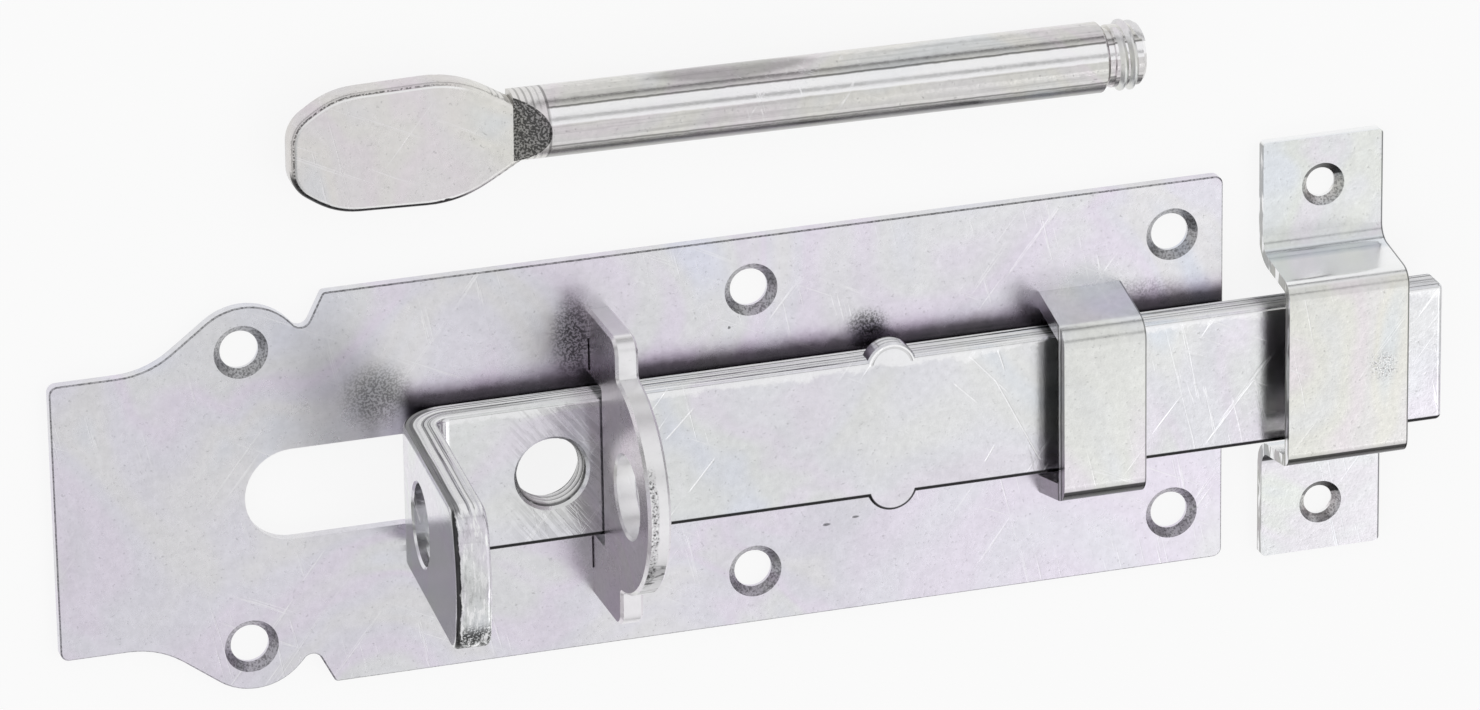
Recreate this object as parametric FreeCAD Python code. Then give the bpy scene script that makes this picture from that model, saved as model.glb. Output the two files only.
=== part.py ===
import FreeCAD, Part
import math
import os

V = FreeCAD.Vector

# Stations along X are measured from the left end of the base plate. Y = 0 is
# the bolt's axis, and Z = 0 is the plane on which the plate, the keeper and
# the taken-off handle lie. At export the origin moves to the centre of the
# four-hole pattern on the back of the plate.

# Base plate, with a 2 x 2 pattern of screw holes behind its right end
PLATE_LENGTH = 205.0
PLATE_WIDTH = 70.0
PLATE_T = 2.0
PLATE_CORNER_R = 1.5
PLATE_BREAK = 0.25
SCREW_HOLE_R = 3.3
SCREW_RIM_R = 4.65
END_HOLE_INSET = 9.2
HOLE_SPACING = 75.0
HOLE_ROW_HALF = 25.6

# Left end of the plate: on each side an ogee, a rounded ear with a screw hole,
# and a small notch before the plate steps out to its full width
END_HALF = 24.5
OGEE_R = 15.6
EAR_X = 33.2
EAR_INSET = 0.75
EAR_R = 10.5
EAR_FLANK = 7.55
EAR_HOLE_SHIFT = (-0.6, 2.65)
NOTCH_R = 1.7
NOTCH_GAP = 0.05
NOTCH_TURN_DEG = 36.87
STEP_FROM_EAR = 13.7
STEP_CORNER_R = 0.8

# Bolt: one flat bar bent up at its left end into the padlock lug
BOLT_WIDTH = 25.0
BOLT_T = 6.0
BOLT_LIFT = 0.2
BOLT_EDGE_R = 0.8
BOLT_CORNER_R = 1.0
BOLT_SPARE = 3.0
BOLT_SPARE_R = 1.4
BOLT_PAST_KEEPER = 9.0
THROW = 24.9
BEND_START_X = 66.15
BEND_OUTER_R = 8.5
LUG_LEAN_DEG = 4.0
LUG_LENGTH = 39.0
LUG_CORNER_R = 5.0
LUG_CROWN = 1.1
NIB_R = 4.5
NIB_T = 3.3
NIB_PROUD = 2.7
NIB_BREAK = 0.3
STOP_GAP = 0.3

# Threaded hole for the handle, drawn at the thread's outer diameter
THREAD_X = 83.6
THREAD_MAJOR_R = 6.0
THREAD_CLEARANCE = 0.1
THREAD_BREAK = 0.5
SLOT_SIDE_ROOM = 2.1
SLOT_END_ROOM = 1.0

# One padlock shackle goes through both lugs
PADLOCK_R = 7.0
PADLOCK_RISE = 14.0
HOLE_BREAK = 0.4

# Fixed lug: plate across the bolt, staked into the base plate
FIXED_X = 92.3
FIXED_T = 4.0
FIXED_HALF = 25.9
SHOULDER_Z = 17.5
SHOULDER_R = 3.0
HEAD_R = 19.1
HEAD_ABOVE_HOLE = 12.3
HEAD_BREAK = 0.5
WINDOW_ROOM = 1.9
WINDOW_GAP = 0.7
WINDOW_R = 1.0
TENON_INSET = 0.8
TENON_WIDTH = 5.4

# Guide strap over the bolt
STRAP_INSET = 33.2
STRAP_LENGTH = 14.7
STRAP_T = 3.0
STRAP_ROOM = 2.9
STRAP_HEADROOM = 3.7
STRAP_FLARE = 3.0
STRAP_BEND_R = 3.8
STRAP_TENON_INSET = 0.3
STRAP_TENON_MARGIN = 2.6
STRAP_TENON_T = 2.2

# Tenons are spread on the back of the plate into a bevelled slot
SLOT_GAP = 0.2
STAKE_SPREAD = 1.0
STAKE_PAST = 0.5

# Keeper: folded strap with two flanges, separate from the plate
KEEPER_APART = 7.3
KEEPER_LENGTH = 21.7
KEEPER_T = 2.0
KEEPER_CENTRE_Y = 1.8
KEEPER_REACH = 38.0
KEEPER_ROOM = 4.1
KEEPER_HEADROOM = 4.7
KEEPER_FLARE = 1.9
KEEPER_BEND_R = 3.0
KEEPER_FOOT_R = 3.0
KEEPER_HOLE_OFFSET = 29.3
KEEPER_HOLE_R = 2.6
KEEPER_RIM_R = 3.85
KEEPER_CORNER_R = 0.8

# Handle, unscrewed and lying beside the plate. Half of the paddle's outline
# is a chain of (x, y, corner radius) from the neck to the blunt tip.
ROD_R = THREAD_MAJOR_R
ROD_LENGTH = 97.4
ROD_BREAK = 0.6
HANDLE_NECK = (84.0, 61.8)
HANDLE_TURN_DEG = -0.6
PADDLE_T = 4.6
PADDLE_EDGE_R = 1.1
PADDLE_SHIFT_Y = -1.0
PADDLE_OUTLINE = ((-2.6, 4.0, 0.0), (-14.6, 11.0, 20.0), (-35.8, 10.4, 14.0), (-43.4, 5.33, 6.0))
NECK_SLOPE_LENGTH = 5.6
UNDERCUT_R = 4.9
UNDERCUT_LENGTH = 1.2
TIP_ROOT_R = 5.3
TIP_LENGTH = 5.4
TIP_BREAK = 0.6

# A cutting tool reaches this far past the faces that it opens, and edges that
# are picked by their place lie within a touch of it
PAST = 1.0
TOUCH = 1e-4

# Sizes and places that follow from the ones above
BOLT_HALF = BOLT_WIDTH / 2
BOLT_BOTTOM_Z = PLATE_T + BOLT_LIFT
BOLT_TOP_Z = BOLT_BOTTOM_Z + BOLT_T
NIB_CENTRE_Y = BOLT_HALF + NIB_PROUD - NIB_R
END_HOLE_X = PLATE_LENGTH - END_HOLE_INSET
MID_HOLE_X = END_HOLE_X - HOLE_SPACING
ORIGIN_X = (MID_HOLE_X + END_HOLE_X) / 2

EAR_Y = END_HALF - EAR_INSET
OGEE_RUN = math.sqrt((OGEE_R + EAR_R) ** 2 + EAR_FLANK ** 2 - (OGEE_R + EAR_INSET) ** 2)
OGEE_X = EAR_X - OGEE_RUN
NOTCH_REACH = EAR_R + NOTCH_R + NOTCH_GAP
NOTCH_X = EAR_X + NOTCH_REACH * math.cos(math.radians(NOTCH_TURN_DEG))
NOTCH_Y = EAR_Y + NOTCH_REACH * math.sin(math.radians(NOTCH_TURN_DEG))
STEP_X = EAR_X + STEP_FROM_EAR
SCREW_PLACES = (
    (EAR_X + EAR_HOLE_SHIFT[0], EAR_Y + EAR_HOLE_SHIFT[1]),
    (MID_HOLE_X, HOLE_ROW_HALF),
    (END_HOLE_X, HOLE_ROW_HALF),
)

WINDOW_HALF = BOLT_HALF + WINDOW_ROOM
PADLOCK_Z = BOLT_TOP_Z + PADLOCK_RISE
STRAP_X = PLATE_LENGTH - STRAP_INSET
STRAP_CROWN_HALF = BOLT_HALF + STRAP_ROOM
STRAP_BASE_HALF = STRAP_CROWN_HALF + STRAP_FLARE
STRAP_TOP_Z = BOLT_TOP_Z + STRAP_HEADROOM + STRAP_T
KEEPER_X = PLATE_LENGTH + KEEPER_APART
KEEPER_CROWN_HALF = BOLT_HALF + KEEPER_ROOM
KEEPER_FOLD_HALF = KEEPER_CROWN_HALF + KEEPER_FLARE
KEEPER_TOP_Z = BOLT_TOP_Z + KEEPER_HEADROOM + KEEPER_T
BOLT_END_X = KEEPER_X + KEEPER_LENGTH + BOLT_PAST_KEEPER
SLOT_HALF = THREAD_MAJOR_R + SLOT_SIDE_ROOM


def on_circle(centre, radius, angle):
    return V(centre[0] + radius * math.cos(angle), centre[1] + radius * math.sin(angle), 0)


def line(a, b):
    return Part.makeLine(a, b)


def arc(a, mid, b):
    return Part.Arc(a, mid, b).toShape()


def arc_on(centre, radius, start, end):
    places = [on_circle(centre, radius, angle) for angle in (start, (start + end) / 2, end)]
    return arc(*places)


def solid_from(edges, direction):
    return Part.Face(Part.Wire(edges)).extrude(direction)


def polygon_solid(points, direction):
    return Part.Face(Part.makePolygon(list(points) + [points[0]])).extrude(direction)


def cylinder(x, y, radius, low, high):
    return Part.makeCylinder(radius, high - low, V(x, y, low))


def real_edges(shape, kind):
    return [edge for edge in shape.Edges if not edge.Degenerated and isinstance(edge.Curve, kind)]


def circles(shape, radius):
    return [edge for edge in real_edges(shape, Part.Circle) if abs(edge.Curve.Radius - radius) < TOUCH]


def edges_at(shape, places, direction):
    """Straight edges along a direction whose middle, seen along it, is at one of the places."""
    found = []
    for edge in real_edges(shape, Part.Line):
        run = edge.Vertexes[-1].Point - edge.Vertexes[0].Point
        if run.Length < TOUCH or run.normalize().cross(direction).Length > TOUCH:
            continue
        middle = edge.CenterOfMass
        for place in places:
            off = middle - place
            off = off - direction * off.dot(direction)
            if off.Length < TOUCH:
                found.append(edge)
                break
    return found


def nib_stop(half):
    """Distance along X from a nib's centre to a flat stop that opens this far from the axis."""
    return math.sqrt(NIB_R ** 2 - (half - NIB_CENTRE_Y) ** 2) + STOP_GAP


def strap_inner_half(z):
    slope = (STRAP_BASE_HALF - STRAP_CROWN_HALF) / (STRAP_TOP_Z - PLATE_T)
    return STRAP_BASE_HALF - slope * (z - PLATE_T) - STRAP_T * math.hypot(1, slope)


def nib_x():
    """Station of the two nibs, which meet the strap when the bolt is fully thrown."""
    return STRAP_X - nib_stop(strap_inner_half(BOLT_TOP_Z)) - THROW


def draw():
    """Way back from the shown place until the nibs meet the fixed lug."""
    return nib_x() - nib_stop(WINDOW_HALF) - FIXED_X - FIXED_T


def offset_chain(points, distance):
    """Mitred copy of an open chain of (y, z) points, moved to the right of its run."""
    normals = []
    for (ay, az), (by, bz) in zip(points, points[1:]):
        length = math.hypot(by - ay, bz - az)
        normals.append(((bz - az) / length, -(by - ay) / length))
    moved = []
    for index, (y, z) in enumerate(points):
        first = normals[max(index - 1, 0)]
        second = normals[min(index, len(normals) - 1)]
        scale = distance / (1 + first[0] * second[0] + first[1] * second[1])
        moved.append((y + (first[0] + second[0]) * scale, z + (first[1] + second[1]) * scale))
    return moved


def countersunk(x, y, radius, rim, top):
    """Through hole with a 90 degree countersink that opens upwards."""
    depth = rim - radius
    tool = cylinder(x, y, radius, -PAST, top + PAST)
    cone = Part.makeCone(radius, rim + PAST, depth + PAST, V(x, y, top - depth))
    return tool.fuse(cone)


def stake(x0, x1, y0, y1):
    """Tenon through the plate whose end is spread into the bevel on the back."""
    body = Part.makeBox(x1 - x0, y1 - y0, PLATE_T, V(x0, y0, 0))
    return body.fuse(spread(x0, x1, y0, y1, 0))


def stake_slot(x0, x1, y0, y1):
    """Slot for a stake: clear of it at the front, bevelled to its spread end at the back."""
    length = x1 - x0 + 2 * SLOT_GAP
    width = y1 - y0 + 2 * SLOT_GAP
    body = Part.makeBox(length, width, PLATE_T + 2 * PAST, V(x0 - SLOT_GAP, y0 - SLOT_GAP, -PAST))
    return body.fuse(spread(x0, x1, y0, y1, STAKE_PAST))


def spread(x0, x1, y0, y1, past):
    """Block that widens towards the back of the plate, and on past it for a cut."""
    rings = []
    for grow, z in ((0, STAKE_SPREAD), (STAKE_SPREAD + past, -past)):
        left, right, low, high = x0 - grow, x1 + grow, y0 - grow, y1 + grow
        rings.append([V(left, low, z), V(right, low, z), V(right, high, z), V(left, high, z)])
    upper, lower = rings
    faces = [upper, lower]
    for first, second in zip(range(4), (1, 2, 3, 0)):
        faces.append([upper[first], upper[second], lower[second], lower[first]])
    shell = Part.Shell([Part.Face(Part.makePolygon(ring + [ring[0]])) for ring in faces])
    block = Part.Solid(shell)
    if block.Volume < 0:
        block.reverse()
    return block


def stake_places():
    """Plan boxes of the four stakes: two of the fixed lug, two of the strap."""
    places = {"fixed": [], "strap": []}
    inner = WINDOW_HALF + TENON_INSET
    outer = STRAP_BASE_HALF - STRAP_TENON_INSET
    strap_run = (STRAP_X + STRAP_TENON_MARGIN, STRAP_X + STRAP_LENGTH - STRAP_TENON_MARGIN)
    for side in (1, -1):
        ends = sorted((side * inner, side * (inner + TENON_WIDTH)))
        places["fixed"].append((FIXED_X, FIXED_X + FIXED_T, *ends))
        ends = sorted((side * outer, side * (outer - STRAP_TENON_T)))
        places["strap"].append((*strap_run, *ends))
    return places


def plate_edge_half():
    """Edges of the plate's upper side, from the left end to the right corner."""
    ogee = (OGEE_X, END_HALF + OGEE_R)
    ear = (EAR_X, EAR_Y)
    notch = (NOTCH_X, NOTCH_Y)
    corner = V(STEP_X, PLATE_WIDTH / 2, 0)
    quarter = math.pi / 2
    run = math.hypot(ear[0] - ogee[0], ear[1] - ogee[1])
    rise = math.atan2(ear[1] - ogee[1], ear[0] - ogee[0]) + math.asin((OGEE_R + EAR_R) / run)
    fall = math.radians(NOTCH_TURN_DEG) - math.asin((EAR_R + NOTCH_R) / NOTCH_REACH)
    reach = math.hypot(corner.x - notch[0], corner.y - notch[1])
    climb = math.atan2(corner.y - notch[1], corner.x - notch[0]) + math.asin(NOTCH_R / reach)
    return [
        line(V(0, END_HALF, 0), V(ogee[0], END_HALF, 0)),
        arc_on(ogee, OGEE_R, -quarter, rise - quarter),
        line(on_circle(ogee, OGEE_R, rise - quarter), on_circle(ear, EAR_R, rise + quarter)),
        arc_on(ear, EAR_R, rise + quarter, fall + quarter),
        line(on_circle(ear, EAR_R, fall + quarter), on_circle(notch, NOTCH_R, fall - quarter)),
        arc_on(notch, NOTCH_R, fall - quarter, climb - quarter),
        line(on_circle(notch, NOTCH_R, climb - quarter), corner),
        line(corner, V(PLATE_LENGTH, PLATE_WIDTH / 2, 0)),
    ]


def base_plate():
    upper = plate_edge_half()
    lower = [edge.mirror(V(0, 0, 0), V(0, 1, 0)) for edge in upper]
    ends = [
        line(V(PLATE_LENGTH, PLATE_WIDTH / 2, 0), V(PLATE_LENGTH, -PLATE_WIDTH / 2, 0)),
        line(V(0, END_HALF, 0), V(0, -END_HALF, 0)),
    ]
    wire = Part.Wire(Part.__sortEdges__(upper + lower + ends))
    plate = Part.Face(wire).extrude(V(0, 0, PLATE_T))
    up = V(0, 0, 1)
    corners = []
    steps = []
    for side in (1, -1):
        corners += [V(0, side * END_HALF, 0), V(PLATE_LENGTH, side * PLATE_WIDTH / 2, 0)]
        steps.append(V(STEP_X, side * PLATE_WIDTH / 2, 0))
    plate = plate.makeFillet(PLATE_CORNER_R, edges_at(plate, corners, up))
    plate = plate.makeFillet(STEP_CORNER_R, edges_at(plate, steps, up))
    rim = [edge for edge in plate.Edges if edge.BoundBox.ZMin > PLATE_T - TOUCH]
    plate = plate.makeChamfer(PLATE_BREAK, rim)

    slot_end = THREAD_MAJOR_R + SLOT_END_ROOM - SLOT_HALF
    left = THREAD_X - draw() - slot_end
    right = THREAD_X + THROW + slot_end
    slot = Part.makeBox(right - left, 2 * SLOT_HALF, PLATE_T + 2 * PAST, V(left, -SLOT_HALF, -PAST))
    for x in (left, right):
        slot = slot.fuse(cylinder(x, 0, SLOT_HALF, -PAST, PLATE_T + PAST))
    plate = plate.cut(slot.removeSplitter())
    for x, y in SCREW_PLACES:
        for side in (1, -1):
            plate = plate.cut(countersunk(x, side * y, SCREW_HOLE_R, SCREW_RIM_R, PLATE_T))
    for group in stake_places().values():
        for place in group:
            plate = plate.cut(stake_slot(*place))
    return plate


def fixed_lug():
    head_top_z = PADLOCK_Z + HEAD_ABOVE_HOLE
    centre_z = head_top_z - HEAD_R
    hip = math.sqrt(HEAD_R ** 2 - (SHOULDER_Z - centre_z) ** 2)
    window_z = BOLT_TOP_Z + WINDOW_GAP
    right_half = [
        (hip, SHOULDER_Z),
        (FIXED_HALF, SHOULDER_Z),
        (FIXED_HALF, PLATE_T),
        (WINDOW_HALF, PLATE_T),
        (WINDOW_HALF, window_z),
    ]
    left_half = [(-y, z) for y, z in reversed(right_half)]
    points = [V(FIXED_X, y, z) for y, z in right_half + left_half]
    edges = [line(a, b) for a, b in zip(points, points[1:])]
    edges.append(arc(points[-1], V(FIXED_X, 0, head_top_z), points[0]))
    lug = solid_from(edges, V(FIXED_T, 0, 0))
    along = V(1, 0, 0)
    shoulders = [V(0, side * FIXED_HALF, SHOULDER_Z) for side in (1, -1)]
    windows = [V(0, side * WINDOW_HALF, window_z) for side in (1, -1)]
    hips = [V(0, side * hip, SHOULDER_Z) for side in (1, -1)]
    lug = lug.makeFillet(SHOULDER_R, edges_at(lug, shoulders, along))
    lug = lug.makeFillet(WINDOW_R, edges_at(lug, windows + hips, along))
    lug = lug.makeChamfer(HEAD_BREAK, circles(lug, HEAD_R))
    hole = Part.makeCylinder(PADLOCK_R, FIXED_T + 2 * PAST, V(FIXED_X - PAST, 0, PADLOCK_Z), along)
    lug = lug.cut(hole)
    lug = lug.makeChamfer(HOLE_BREAK, circles(lug, PADLOCK_R))
    for place in stake_places()["fixed"]:
        lug = lug.fuse(stake(*place))
    return lug.removeSplitter()


def strip(chain, thickness, x0, length, outer_radii, inner_radii):
    """Bent sheet strap: a chain of (y, z) points is its outer side, with a radius at each inner vertex."""
    inner = offset_chain(chain, thickness)
    outline = [V(x0, y, z) for y, z in chain] + [V(x0, y, z) for y, z in reversed(inner)]
    body = polygon_solid(outline, V(length, 0, 0))
    along = V(1, 0, 0)
    for index, (outer, inside) in enumerate(zip(outer_radii, inner_radii), start=1):
        place = V(0, chain[index][0], chain[index][1])
        body = body.makeFillet(outer, edges_at(body, [place], along))
        place = V(0, inner[index][0], inner[index][1])
        body = body.makeFillet(inside, edges_at(body, [place], along))
    return body


def guide_strap():
    right_half = [(STRAP_CROWN_HALF, STRAP_TOP_Z), (STRAP_BASE_HALF, PLATE_T)]
    chain = [(-y, z) for y, z in reversed(right_half)] + right_half
    radii = [STRAP_BEND_R] * 2
    inside = [STRAP_BEND_R - STRAP_T] * 2
    body = strip(chain, STRAP_T, STRAP_X, STRAP_LENGTH, radii, inside)
    corner = V(STRAP_X - PAST, -2 * STRAP_BASE_HALF, PLATE_T - STRAP_T)
    below = Part.makeBox(STRAP_LENGTH + 2 * PAST, 4 * STRAP_BASE_HALF, STRAP_T, corner)
    body = body.cut(below)
    for place in stake_places()["strap"]:
        body = body.fuse(stake(*place))
    return body.removeSplitter()


def keeper():
    right_half = [(KEEPER_CROWN_HALF, KEEPER_TOP_Z), (KEEPER_FOLD_HALF, KEEPER_T), (KEEPER_REACH, KEEPER_T)]
    chain = [(-y, z) for y, z in reversed(right_half)] + right_half
    crown_inside = KEEPER_BEND_R - KEEPER_T
    foot_below = KEEPER_FOOT_R + KEEPER_T
    radii = [KEEPER_FOOT_R, KEEPER_BEND_R, KEEPER_BEND_R, KEEPER_FOOT_R]
    inside = [foot_below, crown_inside, crown_inside, foot_below]
    body = strip(chain, KEEPER_T, KEEPER_X, KEEPER_LENGTH, radii, inside)
    ends = (KEEPER_X, KEEPER_X + KEEPER_LENGTH)
    corners = [V(x, side * KEEPER_REACH, 0) for x in ends for side in (1, -1)]
    body = body.makeFillet(KEEPER_CORNER_R, edges_at(body, corners, V(0, 0, 1)))
    middle = sum(ends) / 2
    for side in (1, -1):
        y = side * KEEPER_HOLE_OFFSET
        body = body.cut(countersunk(middle, y, KEEPER_HOLE_R, KEEPER_RIM_R, KEEPER_T))
    body.translate(V(0, KEEPER_CENTRE_Y, 0))
    return body


def bend_frame():
    """Centre of the bolt's bend, and the directions up and out of its leaning lug."""
    lean = math.radians(LUG_LEAN_DEG)
    up = V(-math.sin(lean), 0, math.cos(lean))
    out = V(-math.cos(lean), 0, -math.sin(lean))
    return V(BEND_START_X, 0, BOLT_BOTTOM_Z + BEND_OUTER_R), up, out


def lug_outline(foot, up):
    """Outer face of the bolt's lug: straight sides, round corners and a low crown."""
    inner = BOLT_HALF - LUG_CORNER_R
    bulge = LUG_CORNER_R * math.sqrt(0.5)
    crown = foot + up * LUG_LENGTH
    shoulder = crown - up * LUG_CORNER_R
    edges = [arc(crown - V(0, inner, 0), crown + up * LUG_CROWN, crown + V(0, inner, 0))]
    for side in (-1, 1):
        outer = V(0, side * BOLT_HALF, 0)
        middle = shoulder + V(0, side * (inner + bulge), 0) + up * bulge
        edges.append(arc(shoulder + outer, middle, crown + V(0, side * inner, 0)))
        edges.append(line(foot + outer, shoulder + outer))
    edges.append(line(foot - V(0, BOLT_HALF, 0), foot + V(0, BOLT_HALF, 0)))
    return Part.__sortEdges__(edges)


def rim_edges(body, top_z):
    """Edges along the bolt's two sides, and those round the lug's end above a height."""
    found = []
    for edge in body.Edges:
        box = edge.BoundBox
        on_side = box.YMin > BOLT_HALF - TOUCH or box.YMax < TOUCH - BOLT_HALF
        runs_along = box.ZLength + box.XLength > BOLT_T + BOLT_EDGE_R
        over_end = edge.CenterOfMass.z > top_z and box.YLength > BOLT_EDGE_R
        if (on_side and runs_along) or over_end:
            found.append(edge)
    return found


def bar_corners(body, x):
    return edges_at(body, [V(x, end * BOLT_HALF, 0) for end in (1, -1)], V(0, 0, 1))


def bolt():
    """The bar is rounded along its edges with some length to spare, then sheared to length."""
    centre, up, out = bend_frame()
    side = V(0, -BOLT_HALF, 0)
    down = V(0, 0, -1)
    middle = out + down
    middle.normalize()
    foot = centre + out * BEND_OUTER_R
    corner = V(BEND_START_X, -BOLT_HALF, BOLT_BOTTOM_Z)
    spare_x = BOLT_END_X + BOLT_SPARE
    bar = Part.makeBox(spare_x - BEND_START_X, BOLT_WIDTH, BOLT_T, corner)
    bar = bar.makeFillet(BOLT_SPARE_R, bar_corners(bar, spare_x))
    rings = []
    for radius in (BEND_OUTER_R, BEND_OUTER_R - BOLT_T):
        rings.append([centre + side + direction * radius for direction in (down, middle, out)])
    outer, inner = rings
    bend_edges = [
        arc(*outer),
        line(outer[-1], inner[-1]),
        arc(*reversed(inner)),
        line(inner[0], outer[0]),
    ]
    bend = solid_from(bend_edges, V(0, BOLT_WIDTH, 0))
    lug = solid_from(lug_outline(foot, up), out * -BOLT_T)
    body = bar.fuse([bend, lug]).removeSplitter()
    shoulder_z = (foot + up * (LUG_LENGTH - LUG_CORNER_R)).z
    body = body.makeFillet(BOLT_EDGE_R, rim_edges(body, shoulder_z))
    off_cut = V(BOLT_END_X, -BOLT_WIDTH, BOLT_BOTTOM_Z - PAST)
    body = body.cut(Part.makeBox(BOLT_SPARE + PAST, 2 * BOLT_WIDTH, BOLT_T + 2 * PAST, off_cut))
    body = body.makeFillet(BOLT_CORNER_R, bar_corners(body, BOLT_END_X))
    for end in (1, -1):
        nib = cylinder(nib_x(), end * NIB_CENTRE_Y, NIB_R, BOLT_TOP_Z - NIB_T, BOLT_TOP_Z)
        body = body.fuse(nib.makeChamfer(NIB_BREAK, circles(nib, NIB_R)))
    body = body.removeSplitter()

    wall_middle = foot - out * (BOLT_T / 2)
    hole_middle = wall_middle + up * ((PADLOCK_Z - wall_middle.z) / up.z)
    hole_start = hole_middle + out * (BOLT_T / 2 + PAST)
    body = body.cut(Part.makeCylinder(PADLOCK_R, BOLT_T + 2 * PAST, hole_start, out * -1))
    body = body.makeChamfer(HOLE_BREAK, circles(body, PADLOCK_R))
    hole_r = THREAD_MAJOR_R + THREAD_CLEARANCE
    body = body.cut(cylinder(THREAD_X, 0, hole_r, BOLT_BOTTOM_Z - PAST, BOLT_TOP_Z + PAST))
    return body.makeChamfer(THREAD_BREAK, circles(body, hole_r))


def far_circles(bar, radius):
    """The round edge at the far end of a cylinder along X."""
    middle = bar.BoundBox.Center.x
    return [edge for edge in circles(bar, radius) if edge.CenterOfMass.x > middle]


def paddle():
    """Flat end of the handle: a plain outline with round corners and round edges."""
    half = [(x, y) for x, y, _ in PADDLE_OUTLINE]
    outline = half + [(x, -y) for x, y in reversed(half)]
    body = polygon_solid([V(x, y, 0) for x, y in outline], V(0, 0, PADDLE_T))
    for x, y, radius in PADDLE_OUTLINE:
        if radius:
            body = body.makeFillet(radius, edges_at(body, [V(x, y, 0), V(x, -y, 0)], V(0, 0, 1)))
    neck = PADDLE_OUTLINE[0][0] - TOUCH
    flat = [edge for edge in body.Edges if edge.BoundBox.ZLength < TOUCH]
    rims = [edge for edge in flat if edge.BoundBox.XMin < neck]
    return body.makeFillet(PADDLE_EDGE_R, rims)


def handle():
    along = V(1, 0, 0)
    blade = paddle()
    blade.translate(V(0, PADDLE_SHIFT_Y, ROD_R - PADDLE_T / 2))
    rod = Part.makeCylinder(ROD_R, ROD_LENGTH + NECK_SLOPE_LENGTH, V(-NECK_SLOPE_LENGTH, 0, ROD_R), along)
    rod = rod.makeChamfer(ROD_BREAK, far_circles(rod, ROD_R))
    for side in (1, -1):
        face = ROD_R + side * PADDLE_T / 2
        crest = ROD_R + side * ROD_R
        wedge = [
            V(0, -2 * ROD_R, crest),
            V(-NECK_SLOPE_LENGTH, -2 * ROD_R, face),
            V(-2 * NECK_SLOPE_LENGTH, -2 * ROD_R, face),
            V(-2 * NECK_SLOPE_LENGTH, -2 * ROD_R, crest),
        ]
        rod = rod.cut(polygon_solid(wedge, V(0, 4 * ROD_R, 0)))
    neck = Part.makeCylinder(UNDERCUT_R, UNDERCUT_LENGTH, V(ROD_LENGTH, 0, ROD_R), along)
    tip_start = ROD_LENGTH + UNDERCUT_LENGTH
    tip = Part.makeCylinder(TIP_ROOT_R, TIP_LENGTH, V(tip_start, 0, ROD_R), along)
    tip = tip.makeChamfer(TIP_BREAK, far_circles(tip, TIP_ROOT_R))
    body = rod.fuse([blade, neck, tip]).removeSplitter()
    body.rotate(V(0, 0, 0), V(0, 0, 1), HANDLE_TURN_DEG)
    body.translate(V(HANDLE_NECK[0], HANDLE_NECK[1], 0))
    return body


PIECES = (
    ("base_plate", base_plate),
    ("fixed_lug", fixed_lug),
    ("guide_strap", guide_strap),
    ("bolt", bolt),
    ("keeper", keeper),
    ("handle", handle),
)

os.makedirs("parts", exist_ok=True)
for name, make in PIECES:
    shape = make()
    if len(shape.Solids) != 1:
        raise ValueError(name + " is not one solid")
    shape = shape.Solids[0]
    shape.translate(V(-ORIGIN_X, 0, 0))
    if not shape.isValid():
        raise ValueError(name + " is not a valid solid")
    box = shape.optimalBoundingBox(True, False)
    corners = (box.XMin, box.XMax, box.YMin, box.YMax, box.ZMin, box.ZMax)
    print(name, round(shape.Volume, 1), [round(value, 2) for value in corners])
    shape.exportStep("parts/" + name + ".step")
print("nibs at", round(nib_x(), 2), "throw", THROW, "draw", round(draw(), 2))
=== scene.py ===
import math

import bmesh
import bpy
from mathutils import Matrix, Vector


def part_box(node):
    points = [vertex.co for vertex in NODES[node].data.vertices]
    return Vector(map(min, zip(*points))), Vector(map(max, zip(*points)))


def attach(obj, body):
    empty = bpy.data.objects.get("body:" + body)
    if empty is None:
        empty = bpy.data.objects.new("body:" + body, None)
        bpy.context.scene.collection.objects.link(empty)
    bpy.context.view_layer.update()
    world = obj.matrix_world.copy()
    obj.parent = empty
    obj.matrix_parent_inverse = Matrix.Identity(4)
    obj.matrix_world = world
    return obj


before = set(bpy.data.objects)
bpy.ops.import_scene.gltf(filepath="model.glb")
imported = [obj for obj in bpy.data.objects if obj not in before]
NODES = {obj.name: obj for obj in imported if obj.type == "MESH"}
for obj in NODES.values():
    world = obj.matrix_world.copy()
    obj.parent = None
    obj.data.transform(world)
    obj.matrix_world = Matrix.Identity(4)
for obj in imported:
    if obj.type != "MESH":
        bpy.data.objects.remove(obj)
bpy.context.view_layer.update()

# Sizes and places are in millimetres unless said otherwise, and noise scales are per metre
MM = 0.001


def node_box(name):
    """Lowest and highest corner of a node."""
    return [[value / MM for value in corner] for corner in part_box(name)]


# Places read from the frame
PLATE_LEFT = node_box("base_plate")[0][0]
PLATE_RIGHT, _, PLATE_TOP = node_box("base_plate")[1]
BOLT_BOTTOM = node_box("bolt")[0][2]
STRAP_RIGHT, _, STRAP_TOP = node_box("guide_strap")[1]
KEEPER_RIGHT, _, KEEPER_TOP = node_box("keeper")[1]


def station(x):
    """Place on the X axis of a point counted from the plate's left end."""
    return PLATE_LEFT + x


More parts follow.
